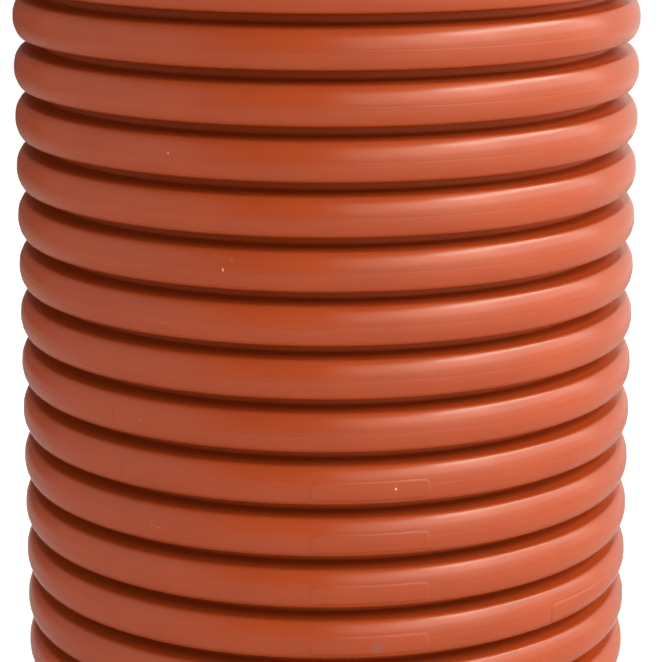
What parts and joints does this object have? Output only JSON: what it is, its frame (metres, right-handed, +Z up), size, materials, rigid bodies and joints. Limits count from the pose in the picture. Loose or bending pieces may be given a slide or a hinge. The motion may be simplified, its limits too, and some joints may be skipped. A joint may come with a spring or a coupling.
{
  "type": "plastic riser pipe",
  "caption": "Straight length of terracotta corrugated plastic riser pipe with rounded ribs, narrow grooves and a through bore, sawn square at both ends, for a drain inspection shaft.",
  "frame": {"origin": "on the pipe's axis, in the plane of the sawn bottom end that it stands on", "axes": "+Z up along the pipe's axis; X and Y are alike, because the pipe is round"},
  "size_m": [0.4759, 0.476, 0.9932],
  "materials": {
    "polypropylene": "satin terracotta polypropylene as moulded"
  },
  "bodies": {
    "root": {"riser_pipe": "polypropylene"}
  },
  "joints": []
}
